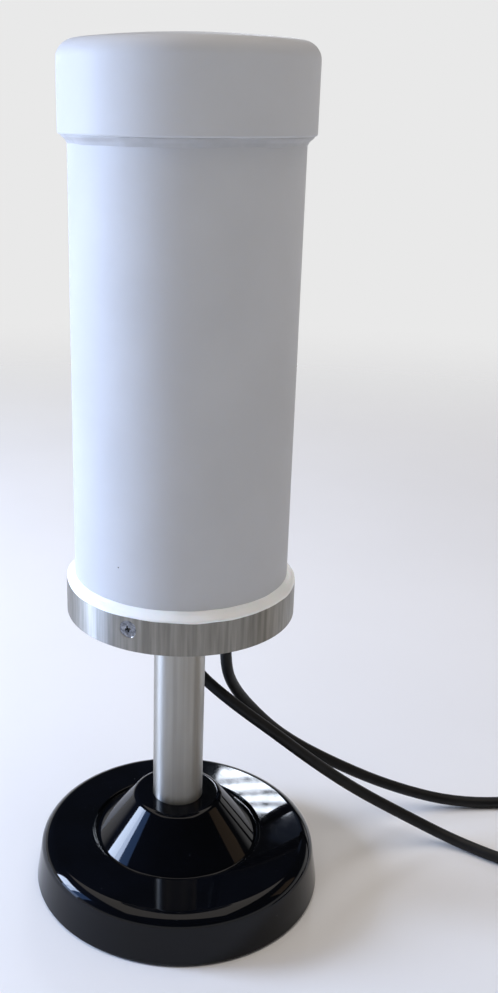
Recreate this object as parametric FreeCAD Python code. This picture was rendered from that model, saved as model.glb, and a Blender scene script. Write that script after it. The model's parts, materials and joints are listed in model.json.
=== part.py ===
import FreeCAD, Part
import math
import os

# Two-port omnidirectional antenna on a round weighted magnetic foot.
# Millimetres, +Z up, origin on the standing surface under the centre of the foot.

V = FreeCAD.Vector

# ---- driving dimensions ----------------------------------------------------

# foot
FOOT_RADIUS = 72.5
FOOT_LIFT = 0.4
SHOULDER_RADIUS = 68.9
SHOULDER_HEIGHT = 24.5
SHOULDER_FILLET = 7.0
SKIRT_CHAMFER = 0.8
RING_INNER_RADIUS = 43.0
RING_INNER_HEIGHT = 26.0
RING_FILLET = 0.6
GROOVE_DEPTH = 1.4
CONE_FOOT_RADIUS = 40.8
LAND_RADIUS = 21.0
LAND_HEIGHT = 47.0
LAND_FILLET = 0.9
COVER_WALL = 3.0
SOCKET_DEPTH = 17.0
SCREW_BOSS_RADIUS = 4.0
PAD_RADIUS = 69.0
PAD_THICKNESS = 2.0
MAGNET_RADIUS = 55.0
MAGNET_HOLE = 25.0
MAGNET_HEIGHT = 10.0
PLATE_RADIUS = 66.0
PLATE_THICKNESS = 4.0
FOOT_SCREW_CIRCLE = 60.5
FOOT_SCREW_ANGLES = (45.0, 135.0, 225.0, 315.0)
FOOT_SCREW_HEAD = 3.0
FOOT_SCREW_HEAD_HEIGHT = 2.2

# mast
MAST_RADIUS = 12.5
MAST_WALL = 2.0
MAST_PLUG_LENGTH = 22.0
MAST_BOLT_RADIUS = 5.0
MAST_BOLT_FLATS = 17.0
MAST_BOLT_HEAD = 6.4
WASHER_RADIUS = 10.0
WASHER_THICKNESS = 1.6
GRUB_RADIUS = 2.5
GRUB_SOCKET = 1.25
GRUB_ANGLES = (30.0, 150.0)

# end flange that carries the radome
FLANGE_RADIUS = 54.0
FLANGE_BOTTOM = 151.5
FLANGE_HEIGHT = 16.0
FLANGE_FLOOR = 6.0
BOSS_RADIUS = 18.0
BOSS_HEIGHT = 21.0
SPIGOT_WALL = 3.9
SPIGOT_HEIGHT = 15.0
FLANGE_CHAMFER = 0.5
RIM_SCREW_ANGLES = (245.0, 5.0, 125.0)
RIM_SCREW_LEVEL = FLANGE_BOTTOM + 10.4
RIM_SCREW_RADIUS = 2.0
RIM_SCREW_HEAD = 4.0
RIM_SCREW_RECESS = 0.25
RIM_SCREW_REACH = 11.3

# radome
RADOME_RADIUS = 50.0
RADOME_WALL = 3.0
CAP_RADIUS = 54.0
CAP_LIP = 366.0
CAP_EDGE_HEIGHT = 401.5
CAP_FILLET = 7.0
CAP_DOME = 3.5
CAP_WALL = 4.2
BEAD_HEIGHT = 4.0

# cable glands in the floor of the flange
GLAND_CIRCLE = 33.3
GLAND_ANGLES = (45.6, 86.5)
GLAND_FLATS = 15.0
GLAND_THREAD = 6.0
GLAND_HEX = 3.0
GLAND_NUT_LENGTH = 10.3
GLAND_NUT_GAP = 0.2
GLAND_NUT_TAPER = 4.0
SEAL_RADIUS = 4.5
SEAL_LENGTH = 5.8
BOOT_END = 120.0
BOOT_RADII = (3.9, 5.4)
BOOT_FLANGE = 5.8

# radiating parts
GROUND_LEVEL = 214.0
GROUND_RADIUS = 44.0
GROUND_THICKNESS = 2.0
STANDOFF_CIRCLE = 37.0
STANDOFF_ANGLES = (20.0, 140.0, 260.0)
COLUMN_CIRCLE = 37.0
COLUMN_ANGLES = (65.0, 155.0, 245.0, 335.0)
COLUMN_RADIUS = 3.5
M3_RADIUS = 1.5
M3_CLEARANCE = 1.6
M3_HEAD = 2.8
M3_HEAD_HEIGHT = 2.0
STANDOFF_FLATS = 5.5
BOARD_LEVEL = 310.0
BOARD_RADIUS = 43.0
BOARD_THICKNESS = 1.6
CONE_RADIUS = 26.0
CONE_TOP = 262.0
CONE_SKIRT = 18.0
CONE_SHEET = 1.0
FEED_PIN_RADIUS = 1.5
BUSHING_RADIUS = 4.0
BUSHING_COLLAR = 6.0
BUSHING_RISE = 2.5
TRACE_THICKNESS = 0.2
TRACE_RADII = (30.0, 33.0)
TRACE_SPAN = 74.0
TRACE_FEED = 1.6
FOAM_THICKNESS = 16.0

# cable and connector
CABLE_RADIUS = 3.0
COIL_RADIUS = 40.2
COIL_PITCH = 6.2
COIL_HEIGHT = 12.3
CONNECTOR_AXIS = 10.5
SLEEVE_RADIUS = 5.0
SLEEVE_LENGTH = 20.0
FERRULE_RADIUS = 4.2
FERRULE_START = 8.0
PLUG_START = 22.0
PLUG_RADIUS = 6.8
JOURNAL_START = 28.8
JOURNAL_RADIUS = 6.0
SHIELD_START = 34.0
SHIELD_FLANGE = 7.1
SHIELD_RADII = (3.4, 4.1)
PLUG_END = 46.0
NUT_START = 29.0
NUT_RADIUS = 10.3
NUT_LENGTH = 20.0
NUT_SHOULDER = 3.5
NUT_THREAD_RADIUS = 7.5
FLUTES = 24
FLUTE_RADIUS = 0.75
FLUTE_SPAN = (34.0, 46.0)
PIN_RADIUS = 1.5
PIN_TIP = 0.6
PIN_START = 33.0
PIN_LENGTH = 11.5
INSULATOR_RADIUS = 3.35
GASKET_RADIUS = 7.0
GASKET_LEVEL = 38.0
RUNNING_GAP = 0.05
FIT_GAP = 0.05
SCREW_GAP = 0.02

# The free cables: corner points of the route from the gland to the coil.
ROUTE_1 = [
    (23.3, 23.8, 127), (23.3, 23.8, 109), (27.5, 33.5, 90.5), (38.5, 44, 71), (57, 50, 50),
    (85, 53, 32), (121, 56, 14), (160, 57, 3), (203, 60, 3), (244, 61, 3),
]
ROUTE_2 = [
    (2, 33.2, 127), (2, 33.2, 115), (5.7, 32.6, 103.7), (13, 31, 94.5), (29, 25.5, 83),
    (50, 23, 68), (73, 25, 48.5), (97, 28, 30), (125, 28, 14), (150, 23, 3), (172, 7, 3),
    (204, -10, 3), (234.3, -27.9, 3),
]
# coil centre, and the angle where the tail leaves its upper turns
COIL_1 = ((244.0, 20.8), 0.0)
COIL_2 = ((213.0, -62.0), 45.0)
COIL_STEP_HEIGHT = 6.0
COIL_STEP = 4.0
TAIL_RADIUS = 32.5
TAIL_LEVEL = 9.1
TAIL_RUN = 31.5
TAIL_REACH = 22.0


# ---- helpers ---------------------------------------------------------------

def polar(radius, degrees, z=0.0):
    angle = math.radians(degrees)
    return V(radius * math.cos(angle), radius * math.sin(angle), z)


def cylinder(radius, z0, z1, x=0.0, y=0.0):
    return Part.makeCylinder(radius, z1 - z0, V(x, y, z0))


def ring(outer, inner, z0, z1, x=0.0, y=0.0):
    return cylinder(outer, z0, z1, x, y).cut(cylinder(inner, z0 - 1, z1 + 1, x, y))


def cone(r0, r1, z0, z1, x=0.0, y=0.0):
    return Part.makeCone(r0, r1, z1 - z0, V(x, y, z0))


def prism(flats, z0, z1, x=0.0, y=0.0):
    """Hexagonal bar, given across its flats."""
    corner = flats / 2 / math.cos(math.pi / 6)
    points = [polar(corner, 60 * k, z0) + V(x, y, 0) for k in range(7)]
    face = Part.Face(Part.makePolygon(points))
    return face.extrude(V(0, 0, z1 - z0))


def turned(edges):
    """Solid of revolution about Z from edges in the XZ plane."""
    solid = Part.Face(Part.Wire(edges)).revolve(V(0, 0, 0), V(0, 0, 1), 360)
    return Part.Solid(Part.Shell(solid.Faces)) if solid.ShapeType != "Solid" else solid


def line(a, b):
    return Part.LineSegment(V(a[0], 0, a[1]), V(b[0], 0, b[1])).toShape()


def arc(a, mid, b):
    return Part.Arc(V(a[0], 0, a[1]), V(mid[0], 0, mid[1]), V(b[0], 0, b[1])).toShape()


def dome_arc(edge, level, rise):
    """Arc of a shallow dome, from its rim in to the axis, with its centre on the axis."""
    radius = (edge ** 2 + rise ** 2) / (2 * rise)
    centre = level + rise - radius
    middle = centre + math.sqrt(radius ** 2 - edge ** 2 / 4)
    return arc((edge, level), (edge / 2, middle), (0, level + rise))


def path(points):
    return [line(points[i], points[i + 1]) for i in range(len(points) - 1)]


def round_corner(before, corner, after, radius):
    """Start, middle and end of the arc that rounds a corner of a profile."""
    c = V(corner[0], corner[1], 0)
    u = (V(before[0], before[1], 0) - c).normalize()
    w = (V(after[0], after[1], 0) - c).normalize()
    half = u.getAngle(w) / 2
    bisector = (u + w).normalize()
    start = c + u * (radius / math.tan(half))
    end = c + w * (radius / math.tan(half))
    middle = c + bisector * (radius / math.sin(half) - radius)
    return [(p.x, p.y) for p in (start, middle, end)]


def export(name, shape):
    shape = shape.removeSplitter()
    assert shape.isValid(), name
    print(f"{name}: {len(shape.Solids)} solid(s), {shape.Volume / 1000:.2f} cm3")
    shape.exportStep(f"parts/{name}.step")


def group(shapes):
    return Part.makeCompound(shapes)


def tube_edges(route):
    """Straight runs joined by tangent arcs, and the radius of each arc."""
    points = [V(*p) for p in route]
    edges = []
    radii = []
    here = points[0]
    for before, corner, after in zip(points, points[1:], points[2:]):
        shorter = min((corner - before).Length, (after - corner).Length)
        u = (before - corner).normalize()
        w = (after - corner).normalize()
        half_turn = (math.pi - u.getAngle(w)) / 2
        radius = 0.45 * shorter / math.tan(half_turn)
        start = corner + u * (0.45 * shorter)
        end = corner + w * (0.45 * shorter)
        sagitta = radius / math.cos(half_turn) - radius
        middle = corner + (u + w).normalize() * sagitta
        edges.append(Part.LineSegment(here, start).toShape())
        edges.append(Part.Arc(start, middle, end).toShape())
        radii.append(radius)
        here = end
    edges.append(Part.LineSegment(here, points[-1]).toShape())
    return edges, radii


def tube(name, route, radius=CABLE_RADIUS):
    edges, radii = tube_edges(route)
    wire = Part.Wire(edges)
    direction = V(*route[1]) - V(*route[0])
    section = Part.Wire(Part.makeCircle(radius, V(*route[0]), direction))
    solid = wire.makePipeShell([section], True, False)
    expected = math.pi * radius ** 2 * wire.Length
    print(f"{name}: length {wire.Length:.1f}, radii {[round(r) for r in radii]}, "
          f"volume / expected {solid.Volume / expected:.4f}")
    return solid


# ---- foot ------------------------------------------------------------------

def foot_cover():
    """Glossy shell: skirt, rounded shoulder, ring, groove, cone and flat land, with four screw bosses."""
    skirt = (FOOT_RADIUS, FOOT_LIFT + SKIRT_CHAMFER)
    skirt_foot = (FOOT_RADIUS - SKIRT_CHAMFER, FOOT_LIFT)
    shoulder = (SHOULDER_RADIUS, SHOULDER_HEIGHT)
    ring_edge = (RING_INNER_RADIUS, RING_INNER_HEIGHT)
    groove = RING_INNER_HEIGHT - GROOVE_DEPTH
    groove_edge = (RING_INNER_RADIUS - SKIRT_CHAMFER, groove)
    cone_foot = (CONE_FOOT_RADIUS, groove)
    cone_top = (LAND_RADIUS + 1.0, LAND_HEIGHT - 1.0)
    land = (LAND_RADIUS - 2.0, LAND_HEIGHT)
    a, b, c = round_corner(skirt, shoulder, ring_edge, SHOULDER_FILLET)
    d, e, f = round_corner(shoulder, ring_edge, groove_edge, RING_FILLET)
    g, h, k = round_corner(cone_foot, cone_top, land, LAND_FILLET)
    bore = MAST_RADIUS + SCREW_GAP
    under = SHOULDER_HEIGHT - COVER_WALL
    ceiling = LAND_HEIGHT - COVER_WALL
    socket = LAND_HEIGHT - SOCKET_DEPTH
    outside = [
        line(skirt_foot, skirt),
        line(skirt, a),
        arc(a, b, c),
        line(c, d),
        arc(d, e, f),
        line(f, groove_edge),
        line(groove_edge, cone_foot),
        line(cone_foot, g),
        arc(g, h, k),
        line(k, land),
    ]
    inside = path([
        land, (bore, LAND_HEIGHT), (bore, socket), (bore + COVER_WALL, socket),
        (bore + COVER_WALL, ceiling), (LAND_RADIUS - 1.2, ceiling), (CONE_FOOT_RADIUS - 1.8, under),
        (SHOULDER_RADIUS - COVER_WALL, under), (FOOT_RADIUS - COVER_WALL, FOOT_LIFT), skirt_foot,
    ])
    shell = turned(outside + inside)
    boss_foot = PAD_THICKNESS + MAGNET_HEIGHT + PLATE_THICKNESS
    for angle in FOOT_SCREW_ANGLES:
        at = polar(FOOT_SCREW_CIRCLE, angle)
        shell = shell.fuse(cylinder(SCREW_BOSS_RADIUS, boss_foot, under + 1, at.x, at.y))
        shell = shell.cut(cylinder(M3_RADIUS + SCREW_GAP, boss_foot, boss_foot + 5, at.x, at.y))
    return shell


def foot_parts():
    magnet_top = PAD_THICKNESS + MAGNET_HEIGHT
    plate_top = magnet_top + PLATE_THICKNESS
    plate = ring(PLATE_RADIUS, MAST_BOLT_RADIUS + 0.3, magnet_top, plate_top)
    screws = []
    for angle in FOOT_SCREW_ANGLES:
        at = polar(FOOT_SCREW_CIRCLE, angle)
        plate = plate.cut(cylinder(M3_CLEARANCE, magnet_top - 1, plate_top + 1, at.x, at.y))
        head_foot = magnet_top - FOOT_SCREW_HEAD_HEIGHT
        head = cylinder(FOOT_SCREW_HEAD, head_foot, magnet_top, at.x, at.y)
        slot = Part.makeBox(4.0, 0.8, 1.2, V(at.x - 2.0, at.y - 0.4, head_foot))
        shank = cylinder(M3_RADIUS, magnet_top, plate_top + 4.5, at.x, at.y)
        screws.append(head.cut(slot).fuse(shank))
    export("base_cover", foot_cover())
    export("pole_plate", plate)
    export("base_screws", group(screws))
    export("ring_magnet", ring(MAGNET_RADIUS, MAGNET_HOLE, PAD_THICKNESS, magnet_top))
    export("base_pad", cylinder(PAD_RADIUS, 0, PAD_THICKNESS))


# ---- mast ------------------------------------------------------------------

def mast_parts():
    foot = PAD_THICKNESS + MAGNET_HEIGHT + PLATE_THICKNESS
    top = FLANGE_BOTTOM + FLANGE_FLOOR + BOSS_HEIGHT - 1.5
    inner = MAST_RADIUS - MAST_WALL
    grub_level = FLANGE_BOTTOM + FLANGE_FLOOR + BOSS_HEIGHT / 2
    mast = ring(MAST_RADIUS, inner, foot, top)
    plug = cylinder(inner - SCREW_GAP, foot, foot + MAST_PLUG_LENGTH)
    plug = plug.cut(cylinder(MAST_BOLT_RADIUS + SCREW_GAP, foot - 1, foot + MAST_PLUG_LENGTH - 4))
    washer_foot = foot - PLATE_THICKNESS - WASHER_THICKNESS
    washer = ring(WASHER_RADIUS, MAST_BOLT_RADIUS + 0.3, washer_foot, washer_foot + WASHER_THICKNESS)
    head = prism(MAST_BOLT_FLATS, washer_foot - MAST_BOLT_HEAD, washer_foot)
    bolt = head.fuse(cylinder(MAST_BOLT_RADIUS, washer_foot, foot + 15))
    grubs = []
    for angle in GRUB_ANGLES:
        tip = polar(MAST_RADIUS - MAST_WALL + 1.0, angle, grub_level)
        away = polar(1.0, angle)
        mast = mast.cut(Part.makeCylinder(GRUB_RADIUS + SCREW_GAP, 6, tip, away))
        grub = Part.makeCylinder(GRUB_RADIUS, BOSS_RADIUS - MAST_RADIUS + 0.6, tip, away)
        socket = tip + away * (BOSS_RADIUS - MAST_RADIUS - 1.4)
        grubs.append(grub.cut(Part.makeCylinder(GRUB_SOCKET, 3, socket, away)))
    export("mast_tube", mast)
    export("mast_foot_plug", plug)
    export("mast_bolt", bolt)
    export("mast_bolt_washer", washer)
    export("mast_grub_screws", group(grubs))


# ---- flange and radome -----------------------------------------------------

def flange_parts():
    floor_top = FLANGE_BOTTOM + FLANGE_FLOOR
    rim_top = FLANGE_BOTTOM + FLANGE_HEIGHT
    spigot_outer = RADOME_RADIUS - RADOME_WALL - 0.1
    body = turned(path([
        (MAST_RADIUS + SCREW_GAP, FLANGE_BOTTOM), (FLANGE_RADIUS - FLANGE_CHAMFER, FLANGE_BOTTOM),
        (FLANGE_RADIUS, FLANGE_BOTTOM + FLANGE_CHAMFER), (FLANGE_RADIUS, rim_top - 0.2),
        (FLANGE_RADIUS - 0.2, rim_top), (RADOME_RADIUS + 0.1, rim_top), (RADOME_RADIUS + 0.1, floor_top),
        (spigot_outer, floor_top), (spigot_outer, floor_top + SPIGOT_HEIGHT),
        (spigot_outer - SPIGOT_WALL, floor_top + SPIGOT_HEIGHT), (spigot_outer - SPIGOT_WALL, floor_top),
        (BOSS_RADIUS, floor_top), (BOSS_RADIUS, floor_top + BOSS_HEIGHT),
        (MAST_RADIUS + SCREW_GAP, floor_top + BOSS_HEIGHT), (MAST_RADIUS + SCREW_GAP, FLANGE_BOTTOM),
    ]))
    for angle in GLAND_ANGLES:
        at = polar(GLAND_CIRCLE, angle)
        body = body.cut(cylinder(GLAND_THREAD + SCREW_GAP, FLANGE_BOTTOM - 1, floor_top + 1, at.x, at.y))
    for angle in STANDOFF_ANGLES:
        at = polar(STANDOFF_CIRCLE, angle)
        body = body.cut(cylinder(M3_RADIUS + SCREW_GAP, floor_top - 5, floor_top + 1, at.x, at.y))
    for angle in GRUB_ANGLES:
        start = polar(MAST_RADIUS - 1, angle, floor_top + BOSS_HEIGHT / 2)
        body = body.cut(Part.makeCylinder(GRUB_RADIUS + SCREW_GAP, 10, start, polar(1.0, angle)))
    tube_top = CAP_EDGE_HEIGHT - CAP_WALL - 0.5
    radome = ring(RADOME_RADIUS, RADOME_RADIUS - RADOME_WALL, floor_top, tube_top)
    screws = []
    for angle in RIM_SCREW_ANGLES:
        inward = polar(-1.0, angle)
        face = polar(FLANGE_RADIUS, angle, RIM_SCREW_LEVEL)
        seat = face + inward * (RIM_SCREW_RECESS + 0.05)
        sink = Part.makeCone(RIM_SCREW_HEAD + 0.1, RIM_SCREW_RADIUS + 0.1, 2.0, seat, inward)
        mouth = Part.makeCylinder(RIM_SCREW_HEAD + 0.1, 1.3, seat - inward * 1.3, inward)
        thread = Part.makeCylinder(RIM_SCREW_RADIUS + SCREW_GAP, 14, face, inward)
        body = body.cut(sink).cut(mouth).cut(thread)
        radome = radome.cut(Part.makeCylinder(RIM_SCREW_RADIUS + 0.1, 14, face, inward))
        screws.append(rim_screw(angle, face + inward * RIM_SCREW_RECESS, inward))
    export("flange", body)
    export("radome_tube", radome)
    export("flange_screws", group(screws))
    bead_outer = FLANGE_RADIUS - 0.2
    export("flange_seal_bead", bead(rim_top, bead_outer, rim_top + 2.0, rim_top + BEAD_HEIGHT, 2.2))


def bead(level, outer, middle, end, swell):
    """Sealant in the corner between the tube and a rim, with a slightly full face."""
    root = (RADOME_RADIUS, level)
    rim = (outer, level)
    tip = (RADOME_RADIUS, end)
    return turned([line(root, rim), arc(rim, (RADOME_RADIUS + swell, middle), tip), line(tip, root)])


def rim_screw(angle, face, inward):
    """Countersunk cross-recess screw that lies along a radius."""
    head = Part.makeCone(RIM_SCREW_HEAD, RIM_SCREW_RADIUS, 2.0, face, inward)
    shank = Part.makeCylinder(RIM_SCREW_RADIUS, RIM_SCREW_REACH, face, inward)
    screw = head.fuse(shank)
    for width, height in ((4.4, 0.9), (0.9, 4.4)):
        wing = Part.makeBox(1.5, width, height, V(-1.3, -width / 2, -height / 2))
        wing.rotate(V(0, 0, 0), V(0, 0, 1), angle)
        wing.translate(face)
        screw = screw.cut(wing)
    return screw


def cap_parts():
    side_top = CAP_EDGE_HEIGHT - CAP_FILLET
    edge = CAP_RADIUS - CAP_FILLET
    diagonal = CAP_FILLET * math.sqrt(0.5)
    bore = RADOME_RADIUS + 0.1
    ceiling = CAP_EDGE_HEIGHT - CAP_WALL
    inner_edge = bore - 4
    cap = turned([
        line((bore, CAP_LIP), (CAP_RADIUS - 0.8, CAP_LIP)),
        arc((CAP_RADIUS - 0.8, CAP_LIP), (CAP_RADIUS - 0.23, CAP_LIP + 0.23), (CAP_RADIUS, CAP_LIP + 0.8)),
        line((CAP_RADIUS, CAP_LIP + 0.8), (CAP_RADIUS, side_top)),
        arc((CAP_RADIUS, side_top), (edge + diagonal, side_top + diagonal), (edge, CAP_EDGE_HEIGHT)),
        dome_arc(edge, CAP_EDGE_HEIGHT, CAP_DOME),
        line((0, CAP_EDGE_HEIGHT + CAP_DOME), (0, ceiling + CAP_DOME - 0.5)),
        dome_arc(inner_edge, ceiling, CAP_DOME - 0.5),
        line((inner_edge, ceiling), (bore, ceiling)),
        line((bore, ceiling), (bore, CAP_LIP)),
    ])
    export("radome_cap", cap)
    export("cap_seal_bead", bead(CAP_LIP, CAP_RADIUS - 1.0, CAP_LIP - 1.7, CAP_LIP - BEAD_HEIGHT, 1.2))


# ---- glands ----------------------------------------------------------------

def gland_parts(number, at):
    """Threaded body, seal, dome nut and the boot that stops the cable bending sharply."""
    x, y = at.x, at.y
    top = FLANGE_BOTTOM
    bore = CABLE_RADIUS + FIT_GAP
    pocket = SEAL_RADIUS + 0.1
    thread_foot = top - 10
    nut_top = top - GLAND_HEX - GLAND_NUT_GAP
    nut_foot = nut_top - GLAND_NUT_LENGTH
    nut_end = nut_foot - GLAND_NUT_TAPER
    seal_foot = thread_foot - 0.9
    body = cylinder(GLAND_THREAD, thread_foot, top + 8.5, x, y)
    body = body.fuse(prism(GLAND_FLATS, top - GLAND_HEX, top, x, y))
    body = body.cut(cylinder(bore, thread_foot - 1, top + 9, x, y))
    body = body.cut(cylinder(pocket, thread_foot - 1, seal_foot + SEAL_LENGTH + 0.1, x, y))
    seal = ring(SEAL_RADIUS, bore, seal_foot, seal_foot + SEAL_LENGTH, x, y)
    nut = prism(GLAND_FLATS, nut_foot, nut_top, x, y).fuse(cone(5.6, 7.3, nut_end, nut_foot, x, y))
    nut = nut.cut(cylinder(GLAND_THREAD + FIT_GAP, nut_foot + 0.1, nut_top + 1, x, y))
    nut = nut.cut(cylinder(pocket, nut_end - 1, nut_foot + 1, x, y))
    boot = ring(BOOT_FLANGE, bore, nut_foot + 0.2, seal_foot - 0.2, x, y)
    boot = boot.fuse(ring(SEAL_RADIUS, bore, nut_end, nut_foot + 0.3, x, y))
    taper = cone(BOOT_RADII[0], BOOT_RADII[1], BOOT_END, nut_end - 0.1, x, y)
    neck = ring(SEAL_RADIUS, bore, nut_end - 0.1, nut_end, x, y)
    boot = boot.fuse(neck).fuse(taper.cut(cylinder(bore, BOOT_END - 1, nut_end, x, y)))
    export(f"gland_body_{number}", body)
    export(f"gland_seal_{number}", seal)
    export(f"gland_nut_{number}", nut)
    export(f"cable_boot_{number}", boot)


# ---- radiating parts -------------------------------------------------------

def ground_parts():
    floor_top = FLANGE_BOTTOM + FLANGE_FLOOR
    plate_top = GROUND_LEVEL + GROUND_THICKNESS
    plate = ring(GROUND_RADIUS, BUSHING_RADIUS + SCREW_GAP, GROUND_LEVEL, plate_top)
    lead_hole = polar(GLAND_CIRCLE, GLAND_ANGLES[1])
    plate = plate.cut(cylinder(3.4, GROUND_LEVEL - 1, plate_top + 1, lead_hole.x, lead_hole.y))
    standoffs = []
    screws = []
    for angle in STANDOFF_ANGLES:
        at = polar(STANDOFF_CIRCLE, angle)
        plate = plate.cut(cylinder(M3_CLEARANCE, GROUND_LEVEL - 1, plate_top + 1, at.x, at.y))
        bar = prism(STANDOFF_FLATS, floor_top, GROUND_LEVEL, at.x, at.y)
        stud = cylinder(M3_RADIUS, floor_top - 4.5, floor_top, at.x, at.y)
        hole = cylinder(M3_RADIUS + SCREW_GAP, GROUND_LEVEL - 9, GROUND_LEVEL + 1, at.x, at.y)
        standoffs.append(bar.fuse(stud).cut(hole))
        head = cylinder(M3_HEAD, plate_top, plate_top + M3_HEAD_HEIGHT, at.x, at.y)
        screws.append(head.fuse(cylinder(M3_RADIUS, GROUND_LEVEL - 8, plate_top, at.x, at.y)))
    for angle in COLUMN_ANGLES:
        at = polar(COLUMN_CIRCLE, angle)
        plate = plate.cut(cylinder(M3_CLEARANCE, GROUND_LEVEL - 1, plate_top + 1, at.x, at.y))
    export("ground_plate", plate)
    export("lower_standoffs", group(standoffs))
    export("standoff_screws", group(screws))


def column_parts():
    """Nylon columns on the ground plate, and the board of loops that they carry."""
    plate_top = GROUND_LEVEL + GROUND_THICKNESS
    board_top = BOARD_LEVEL + BOARD_THICKNESS
    columns = []
    screws = []
    board = ring(BOARD_RADIUS, 1.2, BOARD_LEVEL, board_top)
    for angle in COLUMN_ANGLES:
        at = polar(COLUMN_CIRCLE, angle)
        hole_low = cylinder(M3_RADIUS + SCREW_GAP, plate_top - 1, plate_top + 9, at.x, at.y)
        hole_high = cylinder(M3_RADIUS + SCREW_GAP, BOARD_LEVEL - 9, BOARD_LEVEL + 1, at.x, at.y)
        column = cylinder(COLUMN_RADIUS, plate_top, BOARD_LEVEL, at.x, at.y)
        columns.append(column.cut(hole_low).cut(hole_high))
        board = board.cut(cylinder(M3_CLEARANCE, BOARD_LEVEL - 1, board_top + 1, at.x, at.y))
        low = cylinder(M3_HEAD, GROUND_LEVEL - M3_HEAD_HEIGHT, GROUND_LEVEL, at.x, at.y)
        screws.append(low.fuse(cylinder(M3_RADIUS, GROUND_LEVEL, plate_top + 8, at.x, at.y)))
        high = cylinder(M3_HEAD, board_top, board_top + M3_HEAD_HEIGHT, at.x, at.y)
        screws.append(high.fuse(cylinder(M3_RADIUS, BOARD_LEVEL - 8, board_top, at.x, at.y)))
    export("support_columns", group(columns))
    export("column_screws", group(screws))
    export("loop_board", board)
    export("loop_traces", loop_traces(board_top))
    foam_foot = board_top + 4
    export("foam_disc", ring(RADOME_RADIUS - RADOME_WALL - 0.3, 8.0, foam_foot, foam_foot + FOAM_THICKNESS))


def radiator_parts():
    """Spun cone that stands on its feed pin over the ground plate."""
    plate_top = GROUND_LEVEL + GROUND_THICKNESS
    apex = plate_top + BUSHING_RISE
    hole = FEED_PIN_RADIUS + SCREW_GAP
    neck = 2 * FEED_PIN_RADIUS
    inner = CONE_RADIUS - CONE_SHEET
    radiator = turned(path([
        (hole, apex), (neck, apex), (CONE_RADIUS, CONE_TOP), (CONE_RADIUS, CONE_TOP + CONE_SKIRT),
        (inner, CONE_TOP + CONE_SKIRT), (inner, CONE_TOP + 0.3), (neck, apex + 2.3), (hole, apex + 2.3),
        (hole, apex),
    ]))
    bushing = cylinder(BUSHING_RADIUS, GROUND_LEVEL - 3, plate_top)
    bushing = bushing.fuse(cylinder(BUSHING_COLLAR, plate_top, apex))
    bushing = bushing.cut(cylinder(hole, GROUND_LEVEL - 4, apex + 1))
    export("cone_radiator", radiator)
    export("feed_bushing", bushing)
    export("feed_pin", cylinder(FEED_PIN_RADIUS, GROUND_LEVEL - 6, apex + 3))


def loop_traces(level):
    """Four bent dipoles round the board, fed by a cross of straight lines."""
    inner, outer = TRACE_RADII
    arms = []
    for quarter in range(4):
        sector = Part.makeCylinder(outer, TRACE_THICKNESS, V(0, 0, level), V(0, 0, 1), TRACE_SPAN)
        sector = sector.cut(cylinder(inner, level - 1, level + 1))
        sector.rotate(V(0, 0, 0), V(0, 0, 1), 90 * quarter - TRACE_SPAN / 2)
        feed = Part.makeBox(inner - 0.5, TRACE_FEED, TRACE_THICKNESS, V(1.5, -TRACE_FEED / 2, level))
        feed.rotate(V(0, 0, 0), V(0, 0, 1), 90 * quarter)
        arms.append(sector.fuse(feed))
    hub = ring(3.0, 1.2, level, level + TRACE_THICKNESS)
    return hub.fuse(arms)


def feed_leads():
    """The cables go on inside the radome: one to the cone's foot, one to the middle of the loop board."""
    first = polar(GLAND_CIRCLE, GLAND_ANGLES[0])
    second = polar(GLAND_CIRCLE, GLAND_ANGLES[1])
    start = ROUTE_1[0][2]
    turn = GROUND_LEVEL - 26
    to_cone = [(first.x, first.y, start), (first.x, first.y, turn), (0, 0, turn), (0, 0, GROUND_LEVEL - 6)]
    turn = BOARD_LEVEL - 20
    to_loop = [(second.x, second.y, start), (second.x, second.y, turn), (0, 0, turn), (0, 0, BOARD_LEVEL)]
    export("feed_lead_1", tube("feed_lead_1", to_cone))
    export("feed_lead_2", tube("feed_lead_2", to_loop))


# ---- free cables and connectors --------------------------------------------

def cable_parts(number, route, coil):
    """Cable from its gland to the coil, the coil, and the tail that runs straight out of it into the plug."""
    gland = polar(GLAND_CIRCLE, GLAND_ANGLES[number - 1])
    straight = [(gland.x, gland.y, point[2]) for point in route[:2]]
    export(f"cable_{number}", tube(f"cable_{number}", straight + route[2:]))
    (cx, cy), leave = coil
    outer = COIL_RADIUS + CABLE_RADIUS
    inner = COIL_RADIUS - 2 * COIL_PITCH - CABLE_RADIUS - 1.8
    bundle = turned(path([
        (inner, 0), (outer, 0), (outer, COIL_STEP_HEIGHT), (outer - COIL_STEP, COIL_HEIGHT),
        (inner, COIL_HEIGHT), (inner, 0),
    ]))
    bundle.translate(V(cx, cy, 0))
    export(f"cable_{number}_coil", bundle)
    turn = math.radians(leave)
    heading = V(math.sin(turn), -math.cos(turn), 0)
    start = V(cx, cy, TAIL_LEVEL) + polar(TAIL_RADIUS, leave)
    rise = V(0, 0, CONNECTOR_AXIS - TAIL_LEVEL)
    middle = start + heading * (0.7 * TAIL_RUN) + rise
    place = start + heading * TAIL_RUN + rise
    end = place + heading * TAIL_REACH
    export(f"cable_{number}_tail", tube(f"cable_{number}_tail", [tuple(start), tuple(middle), tuple(end)]))
    connector_parts(number, place, heading)


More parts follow.
